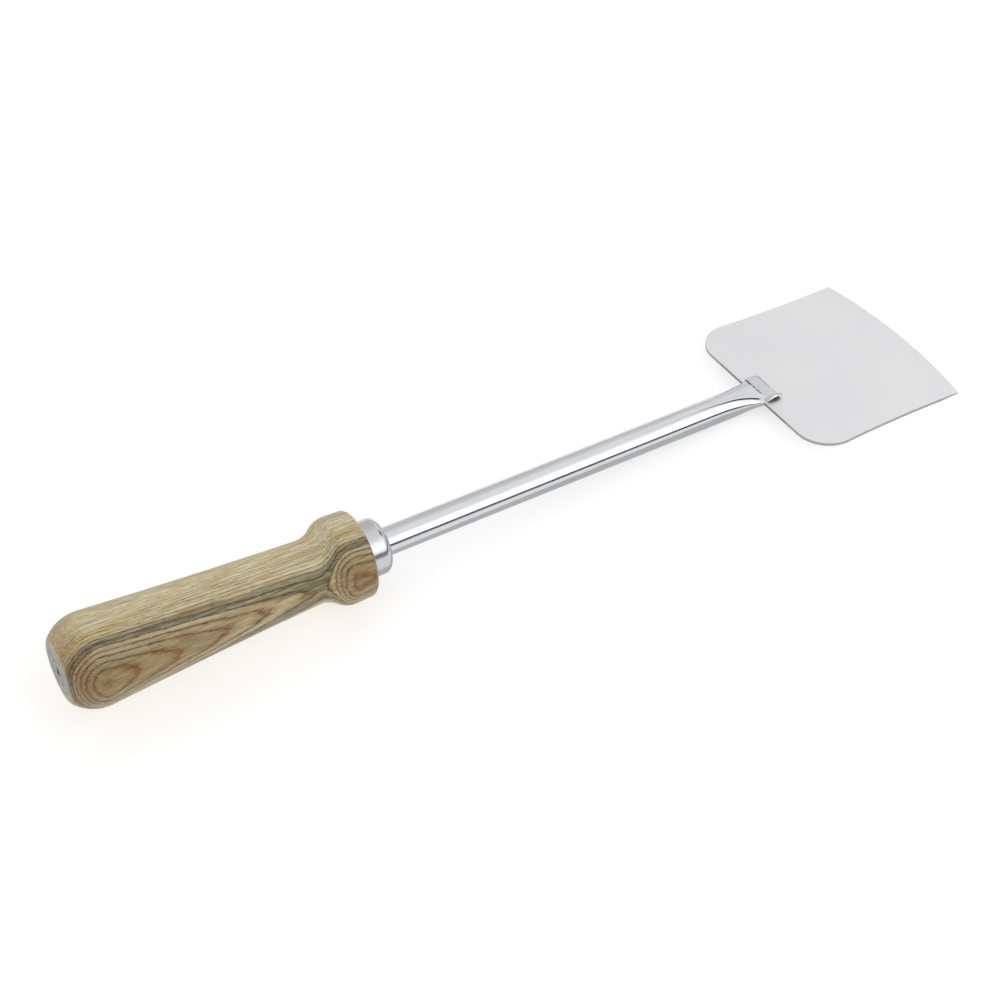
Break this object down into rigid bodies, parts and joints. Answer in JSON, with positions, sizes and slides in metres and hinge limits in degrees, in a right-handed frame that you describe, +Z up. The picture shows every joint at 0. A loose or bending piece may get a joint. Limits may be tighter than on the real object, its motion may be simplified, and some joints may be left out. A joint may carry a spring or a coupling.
{
  "type": "uncapping knife",
  "caption": "Hand-held beekeeping uncapping knife: turned wooden handle with a ferrule, a long straight steel tube and a flat, broad blade held in its flattened end.",
  "frame": {"origin": "centre of the box's underside, on the table that the tool rests on", "axes": "+X along the tool from the butt to the blade, level with the table; +Z up; +Y across the blade. The tool lies nose-down by 4 degrees, on the handle's collar and the blade, as it rests on a table."},
  "size_m": [0.4061, 0.0936, 0.0455],
  "materials": {
    "handle_wood": "clear varnish over turned, open-grained ring-porous wood",
    "ferrule_steel": "satin, turned",
    "adhesive": "hardened glue, hidden",
    "tube_chrome": "bright polished",
    "weld_steel": "weld metal, hidden",
    "blade_steel": "fine satin, flat sheet"
  },
  "bodies": {
    "root": {"handle": "handle_wood", "ferrule": "ferrule_steel", "socket_adhesive": "adhesive", "shank_tube": "tube_chrome", "jaw_welds": "weld_steel", "blade": "blade_steel"}
  },
  "joints": []
}
